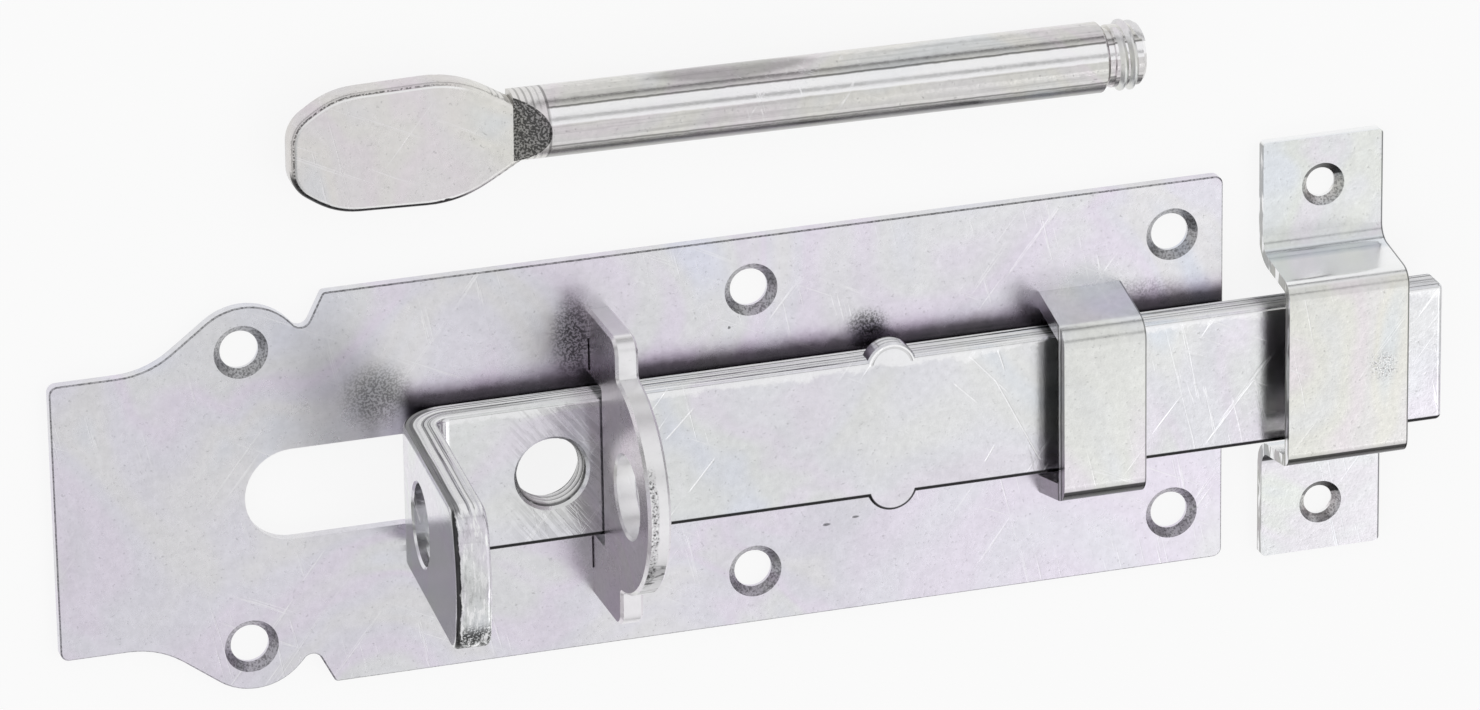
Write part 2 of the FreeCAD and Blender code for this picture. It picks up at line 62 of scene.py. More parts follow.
# Sizes shared with the solids
BOLT_T = 6.0
BOLT_TOP = BOLT_BOTTOM + BOLT_T
BEND_OUTER_R = 8.5
BEND_X = station(66.15)
BEND_Z = BOLT_BOTTOM + BEND_OUTER_R
LUG_LEAN = math.radians(4.0)
NIB_X = station(143.4)
NIB_Y = 10.7
NIB_R = 4.5
PADLOCK_Z = 22.2
FIXED_X = station(92.3)
THREAD_PITCH = 1.75
THREAD_MAJOR_R = 6.0
HOLE_X = station(83.6)
HOLE_R = THREAD_MAJOR_R + 0.1
HANDLE_NECK = (station(84.0), 61.8, THREAD_MAJOR_R)
HANDLE_TURN = math.radians(-0.6)
TIP_ROOT_R = 5.3
TIP_START = 98.6
TIP_END = TIP_START + 5.4

# Section of a thread's ridge, as shares of the pitch and of the ridge's height
TURN_FOOT = 0.44
TURN_CREST = 0.09
TURN_SET_IN = 0.25

# How far the foot of a ridge reaches into its wall, and the faces to a full turn
SEAT = 0.05
TURN_FACES = 96

# Where the handle's thread starts and stops inside its ends, and its fade, all in turns
TIP_INSETS = (0.5, 0.45)
TIP_FADE = 0.35

# The thread in the bolt's hole: insets, fade in turns, height of its ridge, and pitch
HOLE_INSETS = (1.0, 1.2)
HOLE_FADE = 0.3
HOLE_RIDGE = 0.45
HOLE_PITCH = 0.75 * THREAD_PITCH

# Camera at the photograph's viewing angle, with its place in metres
CAMERA_PLACE = (-0.4722, 0.5936, 1.3756)
CAMERA_TURN = Vector((0.3772, -0.3044, -0.074))
CAMERA_LENS = 225.26
CAMERA_RANGE = (0.05, 50.0)
SENSOR = 36.0

# The studio, in metres and watts
FLOOR_HALF = 3.0
FLOOR_DROP = 0.0003
FLOOR_GLOW = 0.85
PAPER_GREY = 0.9
LAMP_PLACE = Vector((0.85, -0.75, 1.25))
LAMP_SIZE = 0.5
LAMP_POWER = 0.6


def grey(value):
    return (value, value, value)


def opaque(colour):
    return (*colour, 1.0)


# Colours of the studio from the horizon up, and its shade from left to right
STUDIO_UPWARD = (
    (0.0, grey(0.08)),
    (0.06, grey(0.12)),
    (0.13, grey(0.50)),
    (0.30, grey(0.92)),
    (1.0, grey(0.96)),
)
STUDIO_ACROSS = ((0.0, grey(0.85)), (0.58, grey(0.86)), (0.68, grey(1.0)), (1.0, grey(1.0)))

# Soft dark patches of the studio: direction, inner and outer reach in radians, and shade
SKY_PATCHES = (
    ((0.279, 0.373, 0.885), 0.05, 0.16, 0.35),
    ((-0.22, -0.385, 0.90), 0.18, 0.40, 0.42),
)

# Colours for worn metal and for painted highlights
BRIGHT = (0.93, 0.93, 0.94)
WHITE = (0.98, 0.98, 0.98)
COOL_WHITE = (0.98, 0.98, 1.0)


class Nodes:
    """Small helper that adds and links shader nodes."""

    def __init__(self, tree):
        self.tree = tree
        tree.nodes.clear()

    def add(self, kind, **values):
        node = self.tree.nodes.new(kind)
        for key, value in values.items():
            setattr(node, key, value)
        return node

    def put(self, socket, value):
        if isinstance(value, bpy.types.NodeSocket):
            self.tree.links.new(value, socket)
        else:
            socket.default_value = value

    def put_all(self, sockets, values):
        for socket, value in zip(sockets, values):
            self.put(socket, value)

    def math(self, operation, first, second=0.0, third=0.0):
        node = self.add("ShaderNodeMath", operation=operation)
        self.put_all(node.inputs, (first, second, third))
        return node.outputs[0]

    def vector(self, operation, first, second=(0.0, 0.0, 0.0)):
        node = self.add("ShaderNodeVectorMath", operation=operation)
        self.put_all(node.inputs, (first, second))
        return node.outputs["Value" if operation in ("LENGTH", "DOT_PRODUCT") else "Vector"]

    def split(self, vector):
        node = self.add("ShaderNodeSeparateXYZ")
        self.put(node.inputs[0], vector)
        return node.outputs[0], node.outputs[1], node.outputs[2]

    def combine(self, x, y, z):
        node = self.add("ShaderNodeCombineXYZ")
        self.put_all(node.inputs, (x, y, z))
        return node.outputs[0]

    def mix(self, factor, first, second, blend="MIX"):
        node = self.add("ShaderNodeMix", data_type="RGBA", blend_type=blend)
        node.clamp_factor = True
        self.put(node.inputs[0], factor)
        ends = [socket for socket in node.inputs if socket.type == "RGBA"]
        for socket, colour in zip(ends, (first, second)):
            self.put(socket, opaque(colour) if isinstance(colour, tuple) else colour)
        return next(socket for socket in node.outputs if socket.type == "RGBA")

    def ramp(self, value, stops, smooth=False):
        node = self.add("ShaderNodeValToRGB")
        node.color_ramp.interpolation = "EASE" if smooth else "LINEAR"
        elements = node.color_ramp.elements
        while len(elements) < len(stops):
            elements.new(0.5)
        for element, (place, colour) in zip(elements, stops):
            element.position = place
            element.color = opaque(colour)
        self.put(node.inputs[0], value)
        return node.outputs[0]

    def noise(self, vector, scale=1.0, detail=2.0, rough=0.5, distortion=0.0):
        node = self.add("ShaderNodeTexNoise")
        self.put(node.inputs["Vector"], vector)
        node.inputs["Scale"].default_value = scale
        node.inputs["Detail"].default_value = detail
        node.inputs["Roughness"].default_value = rough
        node.inputs["Distortion"].default_value = distortion
        return node.outputs["Fac"]

    def mapped(self, vector, shift=(0, 0, 0), turn=(0, 0, 0), scale=(1, 1, 1)):
        node = self.add("ShaderNodeMapping")
        self.put(node.inputs["Vector"], vector)
        node.inputs["Location"].default_value = shift
        node.inputs["Rotation"].default_value = turn
        node.inputs["Scale"].default_value = scale
        return node.outputs["Vector"]

    def both(self, *masks):
        """1 only where every mask is 1."""
        product = masks[0]
        for mask in masks[1:]:
            product = self.math("MULTIPLY", product, mask)
        return product

    def step(self, value, start, full):
        """0 at start and 1 at full, smooth between, whichever of the two is higher."""
        node = self.add("ShaderNodeMapRange", interpolation_type="SMOOTHSTEP")
        self.put(node.inputs[0], value)
        rising = start < full
        node.inputs["From Min"].default_value = min(start, full)
        node.inputs["From Max"].default_value = max(start, full)
        node.inputs["To Min"].default_value = 0.0 if rising else 1.0
        node.inputs["To Max"].default_value = 1.0 if rising else 0.0
        return node.outputs[0]

    def band(self, value, low, high, soft):
        """1 between low and high, fading to 0 outside them."""
        return self.both(self.step(value, low - soft, low), self.step(value, high + soft, high))

    def spot(self, place, centre, reach, soft):
        """1 inside an ellipsoid, fading to 0 at its edge."""
        scaled = self.vector("DIVIDE", self.vector("SUBTRACT", place, centre), reach)
        return self.step(self.vector("LENGTH", scaled), 1.0, 1.0 - soft)

    def shaken(self, value, noise, reach):
        """Move a value to and fro by a noise, over the given reach in all."""
        return self.math("MULTIPLY_ADD", self.math("SUBTRACT", noise, 0.5), reach, value)


# Faint colours of the plating, along a slow noise
HUES = (
    (0.28, (0.70, 0.77, 0.82)),
    (0.38, (0.81, 0.81, 0.735)),
    (0.46, (0.78, 0.77, 0.785)),
    (0.53, (0.81, 0.735, 0.805)),
    (0.61, (0.79, 0.805, 0.735)),
    (0.72, (0.735, 0.77, 0.84)),
)
HUE_SHIFT = 3.1

# Shades of the cloudy, mottled and dirty layers, along the noise of each
CLOUD_SHADES = ((0.25, grey(0.91)), (0.5, grey(1.0)), (0.8, grey(1.04)))
MOTTLE_SHADES = ((0.32, grey(0.94)), (0.68, grey(1.03)))
DIRT_SHADES = ((0.29, grey(0.70)), (0.38, grey(1.0)))
DIRT_SHARE = 0.8

# Roughness given by the cloudy and the fine noise, with their mean taken off
CLOUD_ROUGH = 0.22
FINE_ROUGH = 0.12
MEAN_ROUGH = 0.17

# Heights given by each noise, and how the bump shows them, its distance in metres
SPECK_HEIGHT = 0.5
FINE_HEIGHT = 0.45
CLOUD_HEIGHT = 1.4
BUMP_STRENGTH = 0.22
BUMP_DISTANCE = 0.00012

# Thin scratches all over: angle in radians, shift of the noise, and its scale
SCRATCH_SETS = ((0.45, 0.0, 900.0), (-0.9, 5.0, 700.0), (1.35, 9.0, 1100.0))

# Stretch of their noise, the part of it that shows, and the patches where they gather
SCRATCH_STRETCH = (0.03, 1.0, 0.3)
SCRATCH_SIDE_SHIFT = 0.7
SCRATCH_PEAK = ((0.655, grey(0.0)), (0.685, grey(1.0)), (0.72, grey(0.0)))
SCRATCH_PATCHES = (0.45, 0.62)
SCRATCH_SHINE = 0.5
SCRATCH_DEPTH = -0.35

# Grains: the noise limit at no share, how far a whole share moves it, and its softness
GRAIN_START = 0.36
GRAIN_RANGE = 0.28
GRAIN_SOFT = 0.04


class Look:
    """Colour, roughness and height of one surface while its layers are added."""

    def __init__(self, nodes, base, rough, tint, pits, seed):
        self.nodes = nodes
        coordinates = nodes.add("ShaderNodeTexCoord")
        self.place = coordinates.outputs["Object"]
        self.place_mm = nodes.vector("MULTIPLY", self.place, (1 / MM, 1 / MM, 1 / MM))
        self.x, self.y, self.z = nodes.split(self.place_mm)
        self.facing = nodes.split(coordinates.outputs["Normal"])
        self.cloud = self.noise((seed, 0, 0), scale=30.0, detail=4.0, rough=0.6, distortion=0.6)
        self.speck = self.noise((0, 0, seed), scale=1400.0, detail=3.0, rough=0.7)
        self.grain = self.noise((seed, 0, seed), scale=2600.0, rough=0.6)
        self.fine = self.noise(scale=420.0, detail=4.0, rough=0.65)
        self.colour = self.plating(base, tint, pits, seed)
        self.rough = nodes.math("MULTIPLY_ADD", self.cloud, CLOUD_ROUGH, rough - MEAN_ROUGH)
        self.roughen(self.fine, FINE_ROUGH)
        self.height = nodes.math("MULTIPLY", self.speck, SPECK_HEIGHT * pits)
        self.raise_by(self.fine, FINE_HEIGHT * pits)
        self.raise_by(self.cloud, CLOUD_HEIGHT)
        self.lift = 0.0
        self.scratch(seed)

    def noise(self, shift=(0, 0, 0), **settings):
        return self.nodes.noise(self.nodes.mapped(self.place, shift), **settings)

    def stretched(self, scale, turn=0.0, **settings):
        """Noise with its own scale along each axis, after a turn about Z."""
        turned = self.nodes.mapped(self.place, turn=(0, 0, turn))
        return self.nodes.noise(self.nodes.mapped(turned, scale=scale), **settings)

    def plating(self, base, tint, pits, seed):
        """Cloudy and faintly iridescent colour with mottling and dirt in its pits."""
        nodes = self.nodes
        wash = self.noise((0, seed + HUE_SHIFT, 0), scale=23.0, distortion=1.2)
        mottle = self.noise((seed, seed, 0), scale=760.0, detail=3.0, rough=0.6)
        colour = nodes.mix(tint, base, nodes.ramp(wash, HUES, smooth=True))
        colour = nodes.mix(1.0, colour, nodes.ramp(self.cloud, CLOUD_SHADES), "MULTIPLY")
        colour = nodes.mix(1.0, colour, nodes.ramp(mottle, MOTTLE_SHADES), "MULTIPLY")
        return nodes.mix(DIRT_SHARE * pits, colour, nodes.ramp(self.speck, DIRT_SHADES), "MULTIPLY")

    def scratch(self, seed):
        """Thin sparse scratches in a few directions, gathered in patches."""
        nodes = self.nodes
        marks = 0.0
        for angle, shift, scale in SCRATCH_SETS:
            turned = nodes.mapped(self.place, turn=(0, 0, angle))
            turned = nodes.mapped(turned, scale=[scale * share for share in SCRATCH_STRETCH])
            start = seed + shift
            turned = nodes.mapped(turned, (start, SCRATCH_SIDE_SHIFT * start, 0))
            lines = nodes.ramp(nodes.noise(turned, rough=0.6), SCRATCH_PEAK)
            marks = nodes.math("MAXIMUM", marks, lines)
        marks = nodes.both(marks, nodes.step(self.noise(scale=38.0), *SCRATCH_PATCHES))
        self.brighten(nodes.both(marks, SCRATCH_SHINE))
        self.raise_by(marks, SCRATCH_DEPTH)

    def darken(self, mask, shade):
        """Multiply the colour by a shade, a number or a colour, where the mask is 1."""
        colour = grey(shade) if isinstance(shade, float) else shade
        self.colour = self.nodes.mix(mask, self.colour, colour, "MULTIPLY")

    def brighten(self, mask, colour=BRIGHT):
        self.colour = self.nodes.mix(mask, self.colour, colour)

    def roughen(self, mask, amount):
        self.rough = self.nodes.math("MULTIPLY_ADD", mask, amount, self.rough)

    def raise_by(self, mask, amount):
        self.height = self.nodes.math("MULTIPLY_ADD", mask, amount, self.height)

    def speckled(self, mask, share):
        """Break a mask up into fine grains."""
        limit = GRAIN_START + GRAIN_RANGE * share
        grains = self.nodes.step(self.grain, limit + GRAIN_SOFT, limit - GRAIN_SOFT)
        return self.nodes.both(mask, grains)

    def darken_grainy(self, mask, shade, share, grain_shade):
        """Shade where the mask is 1, with darker grains over a share of it."""
        self.darken(mask, shade)
        self.darken(self.speckled(mask, share), grain_shade)

    def finish(self):
        nodes = self.nodes
        bump = nodes.add("ShaderNodeBump")
        bump.inputs["Strength"].default_value = BUMP_STRENGTH
        bump.inputs["Distance"].default_value = BUMP_DISTANCE
        nodes.put(bump.inputs["Height"], self.height)
        normal = bump.outputs["Normal"]
        if self.lift:
            tilted = nodes.vector("ADD", normal, nodes.combine(0.0, 0.0, self.lift))
            normal = nodes.vector("NORMALIZE", tilted)
        shader = nodes.add("ShaderNodeBsdfPrincipled")
        shader.inputs["Metallic"].default_value = 1.0
        nodes.put(shader.inputs["Base Color"], self.colour)
        nodes.put(shader.inputs["Roughness"], self.rough)
        nodes.put(shader.inputs["Normal"], normal)
        output = nodes.add("ShaderNodeOutputMaterial")
        nodes.put(output.inputs["Surface"], shader.outputs["BSDF"])


def new_material(name):
    material = bpy.data.materials.new(name)
    material.use_nodes = True
    return material, Nodes(material.node_tree)


def zinc(name, base, rough, tint, seed, pits=1.0, marks=()):
    """Bright zinc plate: cloudy, faintly iridescent, finely scratched and pitted."""
    material, nodes = new_material(name)
    look = Look(nodes, base, rough, tint, pits, seed)
    for mark in marks:
        mark(look)
    look.finish()
    return material


# Limits on the normal of surfaces that face squarely along an axis, up at all, or down at a side
SQUARE_ON = (0.85, 0.97)
TURNED_UP = (0.0, 0.1)
UNDERSIDE = (0.35, 0.95, 0.08)
UNDERSIDE_SHADE = 0.12


def face_mask(look, axis, sign):
    """1 on the faces that point one way along an axis."""
    return look.nodes.step(look.nodes.math("MULTIPLY", look.facing[axis], sign), *SQUARE_ON)


def upward(look):
    """1 on every surface that turns up at all."""
    return look.nodes.step(look.facing[2], *TURNED_UP)


def underside(look):
    """Shade on the rounded edges that turn down towards -Y."""
    nodes = look.nodes
    turned = nodes.band(nodes.math("MULTIPLY", look.facing[1], -1.0), *UNDERSIDE)
    look.darken(nodes.both(turned, upward(look)), UNDERSIDE_SHADE)


# Painted shade and dark reflection on the plate beside the bolt: where it starts, how it wanders, and its
# shades outwards
BOLT_SHADE_START_X = -97.0
BOLT_SHADE_FADE = 3.0
BOLT_SHADE_WANDER = 1.6
BOLT_SHADE_REACH = (12.0, 19.0)
BOLT_SHADE_STOPS = (
    (0.0, (0.10, 0.095, 0.10)),
    (0.22, (0.20, 0.18, 0.20)),
    (0.45, (0.52, 0.48, 0.53)),
    (0.75, (0.86, 0.83, 0.87)),
    (1.0, (1.0, 1.0, 1.0)),
)

# Thin shadow along the bolt's near side
NEAR_SHADOW = (-12.95, -12.0, 0.12)
NEAR_SHADE = 0.3


def painted_bolt_shade(look):
    """Painted shade and dark reflection on the plate along both long sides of the bolt."""
    nodes = look.nodes
    along = nodes.band(look.x, BOLT_SHADE_START_X, PLATE_RIGHT, BOLT_SHADE_FADE)
    out = nodes.step(nodes.shaken(look.y, look.fine, BOLT_SHADE_WANDER), *BOLT_SHADE_REACH)
    far = nodes.both(along, nodes.math("GREATER_THAN", look.y, 0.0))
    look.colour = nodes.mix(far, look.colour, nodes.ramp(out, BOLT_SHADE_STOPS), "MULTIPLY")
    look.darken(nodes.both(along, nodes.band(look.y, *NEAR_SHADOW)), NEAR_SHADE)


# Painted shade in speckled dark patches on the plate's top: centre, reach and shade
SHADE_PATCHES = (
    ((-17.1, 16.3, PLATE_TOP), (5.0, 4.2, 3.0), 0.25),
    ((-68.5, 21.0, PLATE_TOP), (5.5, 10.0, 3.0), 0.25),
    ((-103.0, 15.5, PLATE_TOP), (8.0, 7.5, 3.0), 0.50),
    ((30.0, 16.0, PLATE_TOP), (14.0, 3.5, 3.0), 0.75),
)
SHADE_PATCH_SOFT = 0.8
SHADE_PATCH_SHARE = 0.5
SHADE_PATCH_HAZE = 0.4

# Nicks in it: centre and reach
NICKS = (
    ((-24.8, -18.9, PLATE_TOP), (0.9, 0.35, 1.0)),
    ((-19.6, -18.2, PLATE_TOP), (0.8, 0.3, 1.0)),
    ((-41.5, 19.3, PLATE_TOP), (0.35, 0.35, 1.0)),
)
NICK_SOFT = 0.6
NICK_SHADE = 0.35
NICK_DEPTH = -2.0


def shade_patches_and_nicks(look):
    """Painted shade in speckled dark patches on the plate, mostly beside the standing lug and the bolt,
    and small nicks.
    """
    nodes = look.nodes
    for centre, reach, shade in SHADE_PATCHES:
        shade_patch = nodes.spot(look.place_mm, centre, reach, SHADE_PATCH_SOFT)
        look.darken(look.speckled(shade_patch, SHADE_PATCH_SHARE), shade)
        look.darken(shade_patch, 1.0 - SHADE_PATCH_HAZE * (1.0 - shade))
    for centre, reach in NICKS:
        nick = nodes.spot(look.place_mm, centre, reach, NICK_SOFT)
        look.darken(nick, NICK_SHADE)
        look.raise_by(nick, NICK_DEPTH)


# Painted shade on the walls of the countersinks: how far they face up, then shade, share of grains and
# their shade
PLATE_BEVEL = (0.55, 0.85, 0.08)
PLATE_BEVEL_SHADES = (0.62, 0.4, 0.5)


def plate_bevels(look):
    """Painted shade with darker grains on the walls of the countersinks."""
    look.darken_grainy(look.nodes.band(look.facing[2], *PLATE_BEVEL), *PLATE_BEVEL_SHADES)


# Standing lug: painted shade on its face towards the moving lug, and its bright punched rim
FACE_SHADE = (0.93, 0.88, 0.93)
PUNCHED = (0.6, 0.3)
RIM_SHINE = 0.6
RIM_WHITE = (0.97, 0.97, 0.98)
RIM_ROUGH = 0.06

# Torn line on that rim: place from the lug's left face, its span along Y, and its looks
TORN_ACROSS = (0.7, 1.5, 0.4)
TORN_WANDER = 1.2
TORN_SPAN = (-11.0, 6.0, 4.0)
TORN_CLEAR_OF_HOLE = (8.0, 9.0)
TORN_SHADES = (0.8, 0.22, 0.15)
TORN_SHINE = (0.58, 0.64)
TORN_DEPTH = -0.6

# Shear ribs on the low flank of that rim
RIB_SCALE = (150.0, 900.0, 900.0)
RIB_HEIGHTS = (26.0, 33.0, 1.5)
RIB_SPAN = (-8.0, -9.5)
RIB_LIMITS = (0.50, 0.42)
RIB_SHADES = (0.75, 0.25)
RIB_DEPTH = -1.0


def punched_rim(look):
    """1 on the standing lug's cut edge."""
    return look.nodes.step(look.nodes.math("ABSOLUTE", look.facing[0]), *PUNCHED)


def torn_line(look):
    """Painted shade on the face towards the moving lug, and a torn line on the bright punched rim."""
    nodes = look.nodes
    look.darken(face_mask(look, 0, -1.0), FACE_SHADE)
    rim = punched_rim(look)
    look.brighten(nodes.both(rim, RIM_SHINE), RIM_WHITE)
    across = nodes.shaken(nodes.math("SUBTRACT", look.x, FIXED_X), look.fine, TORN_WANDER)
    from_hole = nodes.vector("SUBTRACT", look.place_mm, (0.0, 0.0, PADLOCK_Z))
    from_hole = nodes.vector("LENGTH", nodes.vector("MULTIPLY", from_hole, (0.0, 1.0, 1.0)))
    torn = nodes.both(
        rim,
        nodes.band(across, *TORN_ACROSS),
        nodes.band(look.y, *TORN_SPAN),
        nodes.step(from_hole, *TORN_CLEAR_OF_HOLE),
    )
    look.darken_grainy(torn, *TORN_SHADES)
    look.brighten(nodes.both(torn, nodes.step(look.grain, *TORN_SHINE)))
    look.raise_by(torn, TORN_DEPTH)


def rim_ribs(look):
    """Coarse shear ribs on the low flank of the punched rim."""
    nodes = look.nodes
    rim = punched_rim(look)
    low = nodes.both(rim, nodes.band(look.z, *RIB_HEIGHTS), nodes.step(look.y, *RIB_SPAN))
    look.darken(low, RIB_SHADES[0])
    ribs = look.stretched(RIB_SCALE, detail=3.0, rough=0.6, distortion=0.8)
    ribs = nodes.both(low, nodes.step(ribs, *RIB_LIMITS))
    look.darken(ribs, RIB_SHADES[1])
    look.raise_by(ribs, RIB_DEPTH)
    look.roughen(rim, RIM_ROUGH)


# Sides of the bar: drawn stripes shown by painted bright and dark reflections, with the noise's scale per
# millimetre, and an upward tilt
BAR_SIDE = (0.75, 0.95)
STRIPES_ACROSS = 1.5
STRIPES_ALONG = 0.014
STRIPE_DARK = (0.43, 0.37)
STRIPE_BRIGHT = (0.46, 0.54)
STRIPE_SHADE = 0.25
SIDE_LIFT = 0.9
SIDE_ROUGH = 0.1

# Long dark lines on those sides, the deepest a painted shadow at the bar's foot: how they wander, then
# depth from and to, and shade
LINE_WANDER_SCALE = (60.0, 1.0, 60.0)
LINE_WANDER = 0.5
LINE_SOFT = 0.12
DRAWN_AND_SHADE_LINES = ((8.15, 8.6, 0.12), (6.85, 7.05, 0.3), (5.25, 5.4, 0.45), (4.3, 4.4, 0.5))

# Painted dark reflection in an outer band round the bend
BEND_BAND = (7.2, 8.5, 0.3)
BEND_BAND_X = (-93.0, -95.0)
BEND_SHADE = 0.35


def depth_in_bar(look):
    """Distance from the centre of the bend, which runs across the bar's thickness all along it."""
    nodes = look.nodes
    down = nodes.math("SUBTRACT", BEND_Z, look.z)
    left = nodes.math("MULTIPLY", nodes.math("SUBTRACT", BEND_X, look.x), math.cos(LUG_LEAN))
    left = nodes.math("MULTIPLY_ADD", down, math.sin(LUG_LEAN), left)
    down = nodes.math("MAXIMUM", down, 0.0)
    left = nodes.math("MAXIMUM", left, 0.0)
    return nodes.vector("LENGTH", nodes.combine(left, down, 0.0))


def drawn_sides(look):
    """Drawn stripes with painted bright and dark reflections, long dark lines with a painted shadow at
    the foot, and a painted dark reflection round the bend, on the bar's sides.
    """
    nodes = look.nodes
    side = nodes.step(nodes.math("ABSOLUTE", look.facing[1]), *BAR_SIDE)
    depth = depth_in_bar(look)
    stripe_place = nodes.combine(
        nodes.math("MULTIPLY", depth, STRIPES_ACROSS),
        nodes.math("MULTIPLY", look.x, STRIPES_ALONG),
        nodes.math("MULTIPLY", look.z, STRIPES_ALONG),
    )
    stripes = nodes.noise(stripe_place, detail=5.0, rough=0.75)
    dark = nodes.both(side, nodes.step(stripes, *STRIPE_DARK))
    look.darken(dark, STRIPE_SHADE)
    look.brighten(nodes.both(side, nodes.step(stripes, *STRIPE_BRIGHT)))
    look.lift = nodes.both(nodes.math("SUBTRACT", side, dark), SIDE_LIFT)
    wandering = nodes.shaken(depth, look.stretched(LINE_WANDER_SCALE, detail=3.0), LINE_WANDER)
    for low, high, shade in DRAWN_AND_SHADE_LINES:
        look.darken(nodes.both(side, nodes.band(wandering, low, high, LINE_SOFT)), shade)
    look.roughen(side, SIDE_ROUGH)
    bend = nodes.both(side, nodes.band(depth, *BEND_BAND), nodes.step(look.x, *BEND_BAND_X))
    look.darken(bend, BEND_SHADE)


# Top of the bar, from this far below its upper face, and the far edge of it
TOP_START = (0.7, 0.2)
FAR_EDGE_Y = (11.3, 11.8)

# Ring pressed round a nib, with painted shade in its groove and a painted highlight on its crest: place
# outwards from the nib's edge, and softness
GROOVE = (-1.0, -0.75, 0.15)
GROOVE_SHADE = 0.25
GROOVE_DEPTH = -2.5
CREST = (-0.55, -0.35, 0.12)


def bar_top(look):
    """1 on the bar's upper face."""
    nodes = look.nodes
    high = nodes.step(look.z, *[BOLT_TOP - below for below in TOP_START])
    return nodes.both(face_mask(look, 2, 1.0), high)


def past_nib(look):
    """Distance outwards from the edge of the nearer nib, seen from above."""
    nodes = look.nodes
    offset = nodes.vector("SUBTRACT", look.place_mm, (NIB_X, 0.0, 0.0))
    offset = nodes.vector("SUBTRACT", nodes.vector("ABSOLUTE", offset), (0.0, NIB_Y, 0.0))
    flat = nodes.vector("MULTIPLY", offset, (1.0, 1.0, 0.0))
    return nodes.math("SUBTRACT", nodes.vector("LENGTH", flat), NIB_R)


def pressed_nib(look):
    """Groove and crest that the press left round the far nib, with painted shade in the groove and a
    painted highlight on the crest.
    """
    nodes = look.nodes
    edge = nodes.both(bar_top(look), nodes.step(look.y, *FAR_EDGE_Y))
    past = past_nib(look)
    groove = nodes.both(edge, nodes.band(past, *GROOVE))
    look.darken(groove, GROOVE_SHADE)
    look.raise_by(groove, GROOVE_DEPTH)
    look.brighten(nodes.both(edge, nodes.band(past, *CREST)))


# Painted highlight in a ragged strip on the far side of the bar's top
RAGGED_REACH = 6.0
EDGE_HIGHLIGHT_Y = (10.4, 11.4)
EDGE_HIGHLIGHT_SHINE = 0.7

# Painted shade in a dark line on the near side, which stops at the lug and at the nib
NEAR_LINE_Y = (-11.55, -11.75)
NEAR_LINE_Z = (9.0, 8.5)
NEAR_LINE_NIB = (-0.6, -0.4)
NEAR_LINE_SHADE = 0.04


def bar_edges(look):
    """Painted highlight in a ragged strip along the far edge, and a painted dark line of shade along the
    near one.
    """
    nodes = look.nodes
    ragged = look.noise(scale=160.0, detail=4.0, rough=0.7)
    edge_highlight = nodes.step(nodes.shaken(look.y, ragged, RAGGED_REACH), *EDGE_HIGHLIGHT_Y)
    look.brighten(nodes.both(bar_top(look), edge_highlight, EDGE_HIGHLIGHT_SHINE))
    line = nodes.both(
        upward(look),
        nodes.step(look.y, *NEAR_LINE_Y),
        nodes.step(look.z, *NEAR_LINE_Z),
        nodes.step(past_nib(look), *NEAR_LINE_NIB),
    )
    look.darken(line, NEAR_LINE_SHADE)


# Long scratches on the bar's top, each by the X and Y of its two ends
LONG_SCRATCHES = (
    (-1.2, 11.1, 6.2, 2.9),
    (3.1, 6.8, 11.7, -10.2),
    (-4.0, 6.5, 0.6, 2.0),
    (4.0, 11.4, 5.2, 7.4),
    (3.4, -5.8, 1.5, -8.8),
    (-55.0, 3.0, -49.5, 8.5),
    (-51.0, -7.0, -46.0, -1.0),
)

# Half width and softness of a long scratch, and the share of its length that is full
SCRATCH_HALF_WIDTH = 0.09
SCRATCH_SOFT = 0.08
SCRATCH_FULL = 0.7
LONG_SCRATCH_SHINE = 0.75
LONG_SCRATCH_DEPTH = -0.8


def long_scratches(look):
    """Single long scratches on the top."""
    nodes = look.nodes
    for x0, y0, x1, y1 in LONG_SCRATCHES:
        angle = math.atan2(y1 - y0, x1 - x0)
        half = math.hypot(x1 - x0, y1 - y0) / 2
        full = SCRATCH_FULL * half
        offset = nodes.vector("SUBTRACT", look.place_mm, ((x0 + x1) / 2, (y0 + y1) / 2, 0.0))
        along, across, _ = nodes.split(nodes.mapped(offset, turn=(0, 0, -angle)))
        mask = nodes.both(
            nodes.band(along, -full, full, half - full),
            nodes.band(across, -SCRATCH_HALF_WIDTH, SCRATCH_HALF_WIDTH, SCRATCH_SOFT),
        )
        look.brighten(nodes.both(mask, LONG_SCRATCH_SHINE))
        look.raise_by(mask, LONG_SCRATCH_DEPTH)


# Brushed patch round the handle's hole
BRUSHED_TURN = 0.9
BRUSHED_SCALE = (90.0, 1500.0, 90.0)
BRUSHED_LIMITS = (0.58, 0.40)
BRUSHED_X = (-78.0, -66.0, 6.0)
BRUSHED_SHADE = 0.84
BRUSHED_DEPTH = -0.4

# Painted shade on the wall of that hole, by its distance outwards from the wall, and on the thread's
# roots
WALL_START = (0.4, 0.1)
WALL_FACING = (0.6, 0.3)
WALL_SHADE = 0.25
ROOT_SHARE = 0.8
ROOT_SHADE = 0.2


def past_hole_wall(look):
    """Distance outwards from the wall of the bolt's threaded hole."""
    nodes = look.nodes
    offset = nodes.vector("SUBTRACT", look.place_mm, (HOLE_X, 0.0, 0.0))
    flat = nodes.vector("MULTIPLY", offset, (1.0, 1.0, 0.0))
    return nodes.math("SUBTRACT", nodes.vector("LENGTH", flat), HOLE_R)


